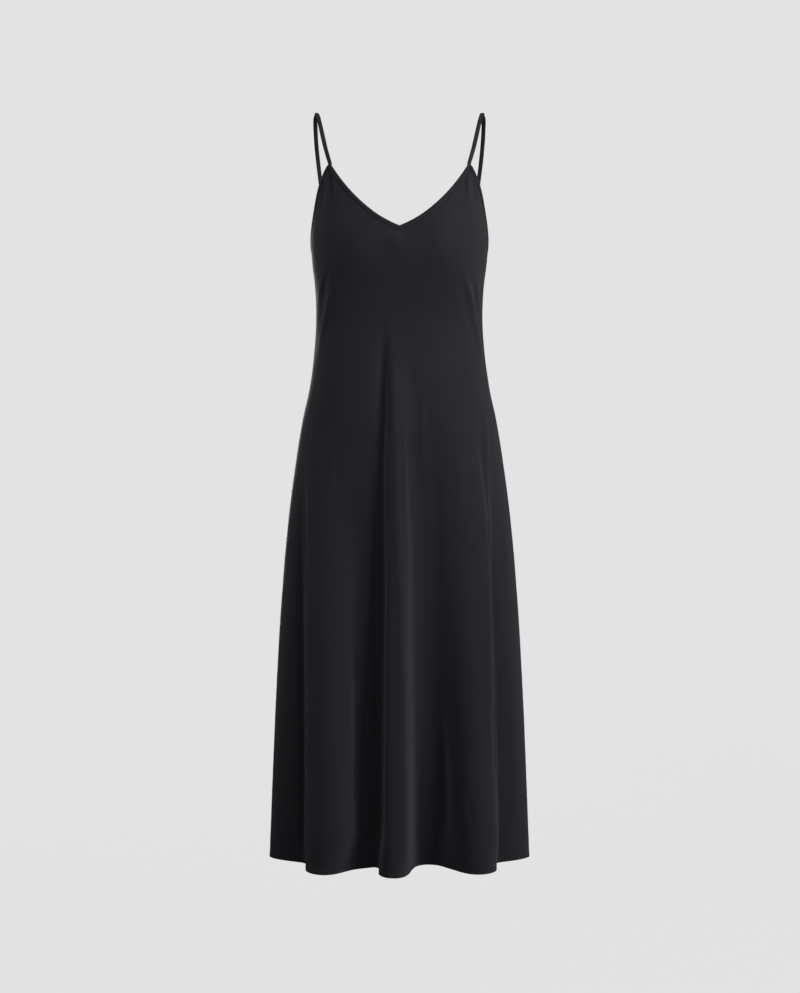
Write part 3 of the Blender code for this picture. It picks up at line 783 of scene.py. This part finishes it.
def bent_end(ring, along, root, strap_point):
    """The rings that turn the end of the armhole binding, from its seam up into the strap."""
    centres = [corners.mean(axis=0) for corners in (ring, root)]
    wide, outward = wide_of(ring), thick_of(ring)
    own = 2 * np.linalg.norm(wide), 2 * np.linalg.norm(outward)
    sizes = np.array([own, (STRAP_WIDTH, STRAP_THICKNESS)])
    reach = np.linalg.norm(centres[1] - centres[0])
    slopes = reach * along, reach * unit(np.array(strap_point) - centres[1])
    parts = np.linspace(0, 1, APEX_RINGS + 1)
    path = np.array([curve_between(*centres, *slopes, part) for part in parts])
    directions = np.gradient(path, axis=0)
    directions[0], directions[-1] = slopes
    rings = []
    for part, centre, direction in zip(parts, path, unit(directions)):
        across = turned_across(unit(wide), unit(wide_of(root)), part, direction)
        out = np.cross(across, direction)
        out = out * np.sign(np.dot(out, outward))
        size = sizes[0] + part * (sizes[1] - sizes[0])
        size = size * (1, 1 + END_SWELL * math.sin(math.pi * part))
        rings.append(ring_around(centre, across * size[0] / 2, out * size[1] / 2))
    last = rings.pop()
    for size, past in zip(END_SIZES, (0, STRAP_OVERLAP)):
        centre = path[-1] + past * unit(slopes[1])
        last = ring_around(centre, size * wide_of(last), size * thick_of(last))
        rings.append(last)
    return np.array(rings[1:])


def armhole_corners(front, back):
    """The right-hand armhole binding's corners, from the front apex to the back one."""
    ahead = even_angles(front, front.tip_angle, math.pi / 2)
    behind = even_angles(back, math.pi / 2, back.tip_angle)
    heights = np.concatenate([seam_height(front, ahead), seam_height(back, behind[1:])])
    angles = np.concatenate([ahead, behind[1:]])
    along, across = seam_directions(angles, heights)
    rings = band_corners(angles, heights, SEAM_GAP * across, BINDING_WIDTH * across)
    for step in range(TIP_RINGS):
        swell = 1 + TIP_SWELL * END_SWELL * (1 - step / TIP_RINGS)
        for ring in (rings[step], rings[-1 - step]):
            ring[:] = ring_around(ring.mean(axis=0), wide_of(ring), swell * thick_of(ring))
    first = apex_corners(front, angles[0], heights[0], -along[0], across[0])
    last = apex_corners(back, angles[-1], heights[-1], along[-1], across[-1])
    before = bent_end(rings[0], -along[0], first, STRAP_FRONT[0])[::-1]
    after = bent_end(rings[-1], along[-1], last, STRAP_BACK[-1])
    return np.concatenate([before, rings, after]), across[0], across[-1]


CENTRE_LEAN = 0.016  # the length over which a mitre's lean fades out
APEX_LEAN = 0.034


def lean_of(across, along, facing):
    """How far a direction across a seam leans along it to lie square to a facing direction."""
    return -np.dot(across, facing) / np.dot(along, facing)


# How far a neck binding reaches in under the armhole binding, and how thick it is there.
NECK_TUCKS = ((0.0014, 0.92), (0.0030, 0.3))


def tucked_end(last_two):
    """The rings past the end of a neck binding, thinner and under the armhole binding."""
    run = unit((last_two[1] - last_two[0]).mean(axis=0))
    wide, thick = wide_of(last_two[1]), thick_of(last_two[1])
    end = last_two[1].mean(axis=0)
    return [ring_around(end + reach * run, wide, share * thick) for reach, share in NECK_TUCKS]


def neck_corners(top, centre, armhole_across):
    """A neck binding's corners, from the left-hand apex to the right-hand one."""
    angles = even_angles(top, centre, top.tip_angle)
    heights = seam_height(top, angles)
    along, across = seam_directions(angles, heights)
    arc = arc_along(body_point(angles, heights))
    at_centre = lean_of(across[0], along[0], np.array([1.0, 0, 0]))
    at_apex = lean_of(across[-1], along[-1], armhole_across)
    lean = at_centre * smooth_step(1 - arc / CENTRE_LEAN)
    lean = lean + at_apex * smooth_step(1 - (arc[-1] - arc) / APEX_LEAN)
    leaned = across + lean[:, None] * along
    rings = band_corners(angles, heights, SEAM_GAP * leaned, BINDING_WIDTH * leaned)
    rings[0, :, 0] = 0
    rings = np.concatenate([rings, tucked_end(rings[-2:])])
    return np.concatenate([rings[:0:-1] * MIRROR, rings])


# A smooth variation along a binding or strap: its size, its waves in a metre, and a seed.
Waves = namedtuple("Waves", "size per_metre seed")
BAND_PUCKERS = (Waves(0.00010, 170, 0), Waves(0.00010, 48, 7))
INNER_DEPTH = 0.4  # what lies deeper than this share of a binding is its inside
STITCHED = 3  # the place in the profile where the edge is sewn down


def wave_at(waves, distance, seed):
    """A smooth variation at a distance along a binding or strap."""
    return waves.size * noise.noise(Vector((distance * waves.per_metre, seed, waves.seed)))


def flat_places(along, around):
    """The flat place of each point of a tube, from its distance along and around it."""
    return np.stack(np.meshgrid(along, around, indexing="ij"), axis=-1)


def band(name, corners, material, seed):
    """A folded binding through its solid's corners, lightly puckered, and its stitched line."""
    profile = np.array(BAND_PROFILE)
    near_out, near_in, far_out, far_in = (corners[:, k][:, None] for k in range(4))
    share, deep = profile[:, 0][None, :, None], profile[:, 1][None, :, None]
    outer = near_out + share * (far_out - near_out)
    inner = near_in + share * (far_in - near_in)
    outward = unit(outer - inner)
    arc = arc_along(corners.mean(axis=1))
    puff = np.array([sum(wave_at(row, place, seed) for row in BAND_PUCKERS) for place in arc])
    puff = puff[:, None, None] * np.sin(math.pi * share) * np.where(deep < INNER_DEPTH, 1, -1)
    points = outer + deep * (inner - outer) + puff * outward
    piece = tube(name, points, flat_places(arc, profile[:, 0] * BINDING_WIDTH), material)
    return piece, (points[:, STITCHED], outward[:, 0])


STITCH_LENGTH = 0.0021
STITCH_GAP = 0.0005
STITCH_RADIUS = 0.00017
# A stitch along its length: how far along, how thick and how far out, in radii.
STITCH_SHAPE = (
    (0.0, 0.35, -0.6), (0.14, 0.9, 0.25), (0.5, 1.0, 0.45), (0.86, 0.9, 0.25), (1.0, 0.35, -0.6),
)
STITCH_SIDES = 6


def stitches(name, rows, material):
    """Machine stitches along paths, as one mesh. Each row is a path and its outward directions."""
    points, faces = [], []
    turns = np.linspace(0, 2 * math.pi, STITCH_SIDES, endpoint=False)
    sides = ring_quads(len(STITCH_SHAPE), STITCH_SIDES)
    for path, outward in rows:
        arc = arc_along(path)
        end = arc[-1] - 2 * STITCH_LENGTH
        for start in np.arange(STITCH_LENGTH, end, STITCH_LENGTH + STITCH_GAP):
            first = len(points)
            ends = [on_path(path, arc, start + share * STITCH_LENGTH) for share in (0, 1)]
            along = unit(ends[1] - ends[0])
            for share, thick, out in STITCH_SHAPE:
                place = start + share * STITCH_LENGTH
                up = unit(on_path(outward, arc, place))
                beside = np.cross(along, up)
                centre = on_path(path, arc, place) + out * STITCH_RADIUS * up
                for turn in turns:
                    around = math.cos(turn) * beside + math.sin(turn) * up
                    points.append(centre + thick * STITCH_RADIUS * around)
            faces += (sides + first).tolist()
            faces.append(list(range(first, first + STITCH_SIDES))[::-1])
            faces.append(list(range(len(points) - STITCH_SIDES, len(points))))
    item = new_piece(name, np.array(points), faces, material)
    turn_outward(item)
    return item


def on_path(values, arc, place):
    """The value at a distance along a path."""
    return np.array([np.interp(place, arc, values[:, axis]) for axis in range(3)])


def ring_quads(count, around):
    """The faces between rings of points."""
    index = np.arange(count * around).reshape(count, around)
    return quads_between(index, np.roll(index, -1, axis=1))


def tube(name, rings, flat, material):
    """A closed body through a row of rings, with a fan of faces at each end."""
    count, around = rings.shape[:2]
    points = [*rings.reshape(-1, 3)]
    places = [*flat.reshape(-1, 2)]
    faces = ring_quads(count, around).tolist()
    for row, turned in ((0, 1), (count - 1, -1)):
        centre = len(points)
        points.append(rings[row].mean(axis=0))
        places.append(flat[row].mean(axis=0))
        for step in range(around):
            here, there = row * around + step, row * around + (step + 1) % around
            faces.append([there, here, centre][::turned])
    item = new_piece(name, np.array(points), faces, material, np.array(places))
    turn_outward(item)
    return item


def turn_outward(item):
    """Makes a closed mesh's faces point out."""
    mesh = item.data
    volume = 0.0
    for polygon in mesh.polygons:
        a, b, c = (mesh.vertices[k].co for k in polygon.vertices[:3])
        triangles = 1 if len(polygon.vertices) == 3 else 2
        volume += a.dot(b.cross(c)) * triangles
    if volume < 0:
        mesh.flip_normals()


# Straps.


def smooth_path(points, last_direction):
    """Points along a smooth curve through a strap's points, ending in a given direction."""
    points = np.array(points)
    slopes = np.gradient(points, axis=0)
    slopes[-1] = np.array(last_direction) * np.linalg.norm(points[-1] - points[-2])
    path = []
    for index in range(len(points) - 1):
        ends = *points[index : index + 2], *slopes[index : index + 2]
        path += [curve_between(*ends, step / STRAP_STEPS) for step in range(STRAP_STEPS)]
    return [*path, points[-1]]


STRAP_AROUND = 18
STRAP_SQUARENESS = 2.2  # the power of its section, where 2 is an ellipse
STRAP_TUCK = 0.0012  # how far a strap's end reaches into the binding
STRAP_END = (0.86, 0.7)  # the shares of its width and thickness there
STRAP_TURN = 3  # the power by which it turns towards the binding's direction
# How it varies along its length: the shares of its width and thickness, and its place sideways.
STRAP_WAVES = (Waves(0.030, 60, 3), Waves(0.06, 70, 5), Waves(0.00015, 30, 9))


def strap(name, armhole, material, seed, mirror):
    """A flat rouleau over the shoulder, from the front to the back end of an armhole binding."""
    front, front_across = armhole[1].mean(axis=0), unit(wide_of(armhole[1]))
    back, back_across = armhole[-2].mean(axis=0), unit(wide_of(armhole[-2]))
    seat = [np.array([STRAP_TOP_X, y, STRAP_THICKNESS / 2]) for y in STRAP_SEAT]
    rising = smooth_path([front, *STRAP_FRONT, seat[0]], (0, 1, 0))
    falling = smooth_path([back, *STRAP_BACK[::-1], seat[1]], (0, -1, 0))[::-1]
    path = np.array(rising + falling)
    along = np.gradient(path, axis=0)
    along[len(rising) - 1] = along[len(rising)] = (0, 1, 0)
    along = unit(along)
    tucked = path[[0, -1]] + STRAP_TUCK * along[[0, -1]] * [[-1], [1]]
    path = np.concatenate([tucked[:1], path, tucked[1:]])
    along = np.concatenate([along[:1], along, along[-1:]])
    arc = arc_along(path)
    turns = np.linspace(0, 2 * math.pi, STRAP_AROUND, endpoint=False)
    circle = np.array([np.cos(turns), np.sin(turns)])
    section = np.sign(circle) * np.abs(circle) ** (2 / STRAP_SQUARENESS)
    wide, thick = section[0] * STRAP_WIDTH / 2, section[1] * STRAP_THICKNESS / 2
    rings = []
    for index, centre in enumerate(path):
        from_top = index - len(rising) - 0.5
        root, steps = (front_across, len(rising)) if from_top < 0 else (back_across, len(falling))
        turned = min(1, abs(from_top) / steps) ** STRAP_TURN
        across = turned_across(np.array([1.0, 0, 0]), root, turned, along[index])
        upward = np.cross(across, along[index])
        width, thickness, aside = (wave_at(row, arc[index], seed) for row in STRAP_WAVES)
        scale = STRAP_END if index in (0, len(path) - 1) else (1 + width, 1 + thickness)
        sideways = wide * scale[0] + aside
        rings.append(centre + sideways[:, None] * across + (thick * scale[1])[:, None] * upward)
    flat = flat_places(arc, turns / math.pi * STRAP_WIDTH)
    return tube(name, np.array(rings) * mirror, flat, material)


# Materials.

# Each cloth: its colour, how deep its weave is and how much sheen it has. The binding's and the
# strap's colours are lighter than the dress cloth's as painted highlight, for light on their rounded
# shapes.
Fabric = namedtuple("Fabric", "name colour weave_depth sheen")
DRESS_CLOTH = Fabric("dress cloth", (0.0087, 0.0079, 0.0101), 0.30, 0.20)
# painted highlight: the binding's colour is a little lighter than the dress cloth's, for the light
# its rounded fold catches
BINDING_CLOTH_PAINTED_LIGHTER = Fabric("binding cloth painted lighter", (0.0091, 0.0083, 0.0105), 0.28, 0.20)
# painted highlight: the strap's colour is over three times as light as the dress cloth's, for light
# on its rounded middle
STRAP_CLOTH_PAINTED_LIGHTER = Fabric("strap cloth painted lighter", (0.0300, 0.0287, 0.0316), 0.28, 0.08)
SHEEN_TINT = (0.81, 0.755, 0.89, 1)
MOTTLE_TINTS = ((0.86, 0.92, 0.84), (1.14, 1.04, 1.16))  # shares of a cloth's colour
MOTTLE_RANGE = (0.3, 0.7)
CLOTH_ROUGHNESS = (0.56, 0.66)
THREAD_TONES = ((0.006, 0.006, 0.007, 1), (0.013, 0.012, 0.014, 1))
THREAD_ROUGHNESS = (0.42, 0.58)


def new_material(name, sockets):
    """A material, its node tree and its shader with the values of its sockets."""
    material = bpy.data.materials.new(name)
    material.use_nodes = True
    shader = material.node_tree.nodes["Principled BSDF"]
    fill(material.node_tree, shader, sockets)
    return material, material.node_tree, shader


def fill(tree, node, sockets):
    """Gives each socket of a node its value, or links it to an output of another node."""
    for socket, value in sockets.items():
        if isinstance(value, bpy.types.NodeSocket):
            tree.links.new(value, node.inputs[socket])
        else:
            node.inputs[socket].default_value = value


def add_node(tree, kind, output, sockets, **settings):
    """An output of a new shader node with its settings and its filled sockets."""
    node = tree.nodes.new("ShaderNode" + kind)
    for setting, value in settings.items():
        setattr(node, setting, value)
    fill(tree, node, sockets)
    return node.outputs[output]


def mapped(tree, value, source, target, **settings):
    """A value mapped from one range to another."""
    ranges = {"From Min": source[0], "From Max": source[1], "To Min": target[0], "To Max": target[1]}
    return add_node(tree, "MapRange", "Result", {"Value": value, **ranges}, **settings)


def object_place(tree):
    return add_node(tree, "TexCoord", "Object", {})


def cloth_material(fabric):
    """A black satin-backed crepe: a fine diagonal weave, a soft mottle and a low sheen."""
    shine = {
        "Specular IOR Level": 0.10,
        "Sheen Weight": fabric.sheen,
        "Sheen Roughness": 0.70,
        "Sheen Tint": SHEEN_TINT,
    }
    material, tree, shader = new_material(fabric.name, shine)
    place = object_place(tree)
    flat = add_node(tree, "UVMap", "UV", {}, uv_map="cloth")
    mottle = add_node(tree, "TexNoise", "Fac", {"Vector": place, "Scale": 16, "Detail": 3})
    tones = [(*(np.array(fabric.colour) * tint), 1) for tint in MOTTLE_TINTS]
    mixed = {"Factor": mottle, "A": tones[0], "B": tones[1]}
    tone = add_node(tree, "Mix", "Result", mixed, data_type="RGBA")
    threads = {"Vector": flat, "Scale": 900, "Distortion": 1.6, "Detail": 2, "Detail Scale": 1.8}
    weave = add_node(tree, "TexWave", "Color", threads, bands_direction="DIAGONAL")
    woven = {"Factor": 0.22, "A": tone, "B": weave}
    colour = add_node(tree, "Mix", "Result", woven, data_type="RGBA", blend_type="MULTIPLY")
    pebble = add_node(tree, "TexNoise", "Fac", {"Vector": place, "Scale": 1500, "Detail": 2})
    heights = {"Factor": 0.5, "A": weave.node.outputs["Fac"], "B": pebble}
    relief = add_node(tree, "Mix", "Result", heights, data_type="FLOAT")
    raised = {"Height": relief, "Strength": fabric.weave_depth, "Distance": 0.00012}
    surface = {
        "Base Color": colour,
        "Roughness": mapped(tree, mottle, MOTTLE_RANGE, CLOTH_ROUGHNESS),
        "Normal": add_node(tree, "Bump", "Normal", raised),
    }
    fill(tree, shader, surface)
    return material


def thread_material():
    """Black sewing thread, a little glossier than the cloth."""
    material, tree, shader = new_material(
        "thread", {"Specular IOR Level": 0.25, "Sheen Weight": 0.15}
    )
    twist = add_node(tree, "TexNoise", "Fac", {"Vector": object_place(tree), "Scale": 2600})
    tones = {"Factor": twist, "A": THREAD_TONES[0], "B": THREAD_TONES[1]}
    surface = {
        "Base Color": add_node(tree, "Mix", "Result", tones, data_type="RGBA"),
        "Roughness": mapped(tree, twist, (0, 1), THREAD_ROUGHNESS),
    }
    fill(tree, shader, surface)
    return material


# The stage: a pale floor that fades into the pale background, and soft lights.

FLOOR_HEIGHT = -1.42
FLOOR_RADIUS = 6.0
FLOOR_SIDES = 96
FLOOR_FADE = (1.6, 4.6)  # where the floor starts to fade and where it has gone
FLOOR_TONE = (0.02, 0.02, 0.02, 1)
FLOOR_GLOW = 0.752


def floor_material():
    """A floor with an even pale glow, faded out by the distance from its middle."""
    surface = {
        "Base Color": FLOOR_TONE,
        "Roughness": 0.9,
        "Specular IOR Level": 0,
        "Emission Color": (1, 1, 1, 1),
        "Emission Strength": FLOOR_GLOW,
    }
    material, tree, shader = new_material("floor", surface)
    distance = add_node(tree, "VectorMath", "Value", {0: object_place(tree)}, operation="LENGTH")
    alpha = mapped(tree, distance, FLOOR_FADE, (1, 0), interpolation_type="SMOOTHSTEP")
    fill(tree, shader, {"Alpha": alpha})
    return material


def make_floor():
    turns = np.linspace(0, 2 * math.pi, FLOOR_SIDES, endpoint=False)
    rim = np.stack([np.cos(turns), np.sin(turns), 0 * turns], axis=-1) * FLOOR_RADIUS
    mesh = bpy.data.meshes.new("floor")
    mesh.from_pydata(rim.tolist(), [], [list(range(FLOOR_SIDES))])
    mesh.materials.append(floor_material())
    floor = add_object("floor", mesh)
    floor.location = (0, 0, FLOOR_HEIGHT)
    floor.visible_diffuse = False
    floor.visible_glossy = False


LIGHT_AIM = (0, 0, -0.62)
# Each soft light: its place, its width and height, and its power in watts.
Light = namedtuple("Light", "name place width height power")
LIGHTS = (
    Light("key softbox", (1.90, -1.80, 0.60), 1.3, 1.6, 46),
    Light("upper softbox", (-0.25, -1.25, -0.15), 0.6, 0.6, 4.1),
    Light("front softbox", (0.25, -3.4, 0.1), 2.0, 2.4, 4),
    Light("right strip", (2.6, 0.7, 0.30), 0.5, 1.4, 5.5),
    Light("left strip", (-2.5, 0.6, 0.45), 0.5, 1.2, 4.8),
    Light("top softbox", (0, -0.3, 2.6), 2.0, 2.0, 5.5),
    Light("back softbox", (-0.8, 3.3, 0.1), 1.6, 2.4, 55),
)
BACKGROUND = (0.768, 0.768, 0.768, 1)
AMBIENT = (0.01, 0.01, 0.01, 1)


def make_lights():
    for row in LIGHTS:
        data = bpy.data.lights.new(row.name, "AREA")
        data.shape = "RECTANGLE"
        data.size = row.width
        data.size_y = row.height
        data.energy = row.power
        light = add_object(row.name, data)
        light.visible_camera = False
        light.location = row.place
        aim = Vector(LIGHT_AIM) - Vector(row.place)
        light.rotation_euler = aim.to_track_quat("-Z", "Y").to_euler()


def make_world():
    """A pale background that lights the scene less than it shows."""
    world = bpy.data.worlds.new("studio")
    world.use_nodes = True
    tree = world.node_tree
    light = tree.nodes["Background"]
    fill(tree, light, {"Color": AMBIENT})
    seen = add_node(tree, "Background", "Background", {"Color": BACKGROUND})
    camera_ray = add_node(tree, "LightPath", "Is Camera Ray", {})
    both = {0: camera_ray, 1: light.outputs["Background"], 2: seen}
    mixed = add_node(tree, "MixShader", "Shader", both)
    fill(tree, tree.nodes["World Output"], {"Surface": mixed})
    bpy.context.scene.world = world
    bpy.context.scene.view_settings.view_transform = "Standard"


CAMERA_DISTANCE = 3.0
CAMERA_HEIGHT = -0.608
IMAGE_WIDTH, IMAGE_HEIGHT = 800, 993
FOCAL_PIXELS = 1875
IMAGE_CENTRE = (399.5, 496.0)
SENSOR = 36.0


def make_camera():
    data = bpy.data.cameras.new("camera")
    data.sensor_fit = "HORIZONTAL"
    data.sensor_width = SENSOR
    data.lens = FOCAL_PIXELS / IMAGE_WIDTH * SENSOR
    data.shift_x = (IMAGE_WIDTH / 2 - IMAGE_CENTRE[0]) / IMAGE_WIDTH
    data.shift_y = (IMAGE_CENTRE[1] - IMAGE_HEIGHT / 2) / IMAGE_WIDTH
    camera = add_object("camera", data)
    camera.location = (0, -CAMERA_DISTANCE, CAMERA_HEIGHT)
    camera.rotation_euler = (math.radians(90), 0, 0)
    bpy.context.scene.camera = camera


def main():
    front, back = map(with_tip, TOPS)
    cloth = cloth_material(DRESS_CLOTH)
    front_surface = panel_surface(front, front_lines(front.tip_angle))
    back_surface = panel_surface(back, back_lines(back.tip_angle))
    front_piece = shell("front_cloth", *front_surface, cloth)
    back_piece = shell("back_cloth", *back_surface, cloth)
    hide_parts("front_panel")
    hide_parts("back_panel")

    trim = cloth_material(BINDING_CLOTH_PAINTED_LIGHTER)
    armhole, front_across, back_across = armhole_corners(front, back)
    trims, seams = [], []
    for name, corners, node, seed in (
        ("front_neck_trim", neck_corners(front, 0, front_across), "neck_binding_front", 2),
        ("back_neck_trim", neck_corners(back, math.pi, back_across), "neck_binding_back", 11),
        ("right_armhole_trim", armhole, "armhole_binding_right", 23),
        ("left_armhole_trim", armhole * MIRROR, "armhole_binding_left", 31),
    ):
        piece, seam = band(name, corners, trim, seed)
        seams.append(seam)
        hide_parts(node)
        trims.append(piece)
    strap_cloth = cloth_material(STRAP_CLOTH_PAINTED_LIGHTER)
    for side, seed, mirror in (("right", 41, (1, 1, 1)), ("left", 53, MIRROR)):
        piece = strap(side + "_strap_tube", armhole, strap_cloth, seed, mirror)
        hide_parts("strap_" + side)
    stitches("edge_stitches", seams, thread_material())
    make_floor()
    make_lights()
    make_world()
    make_camera()


main()
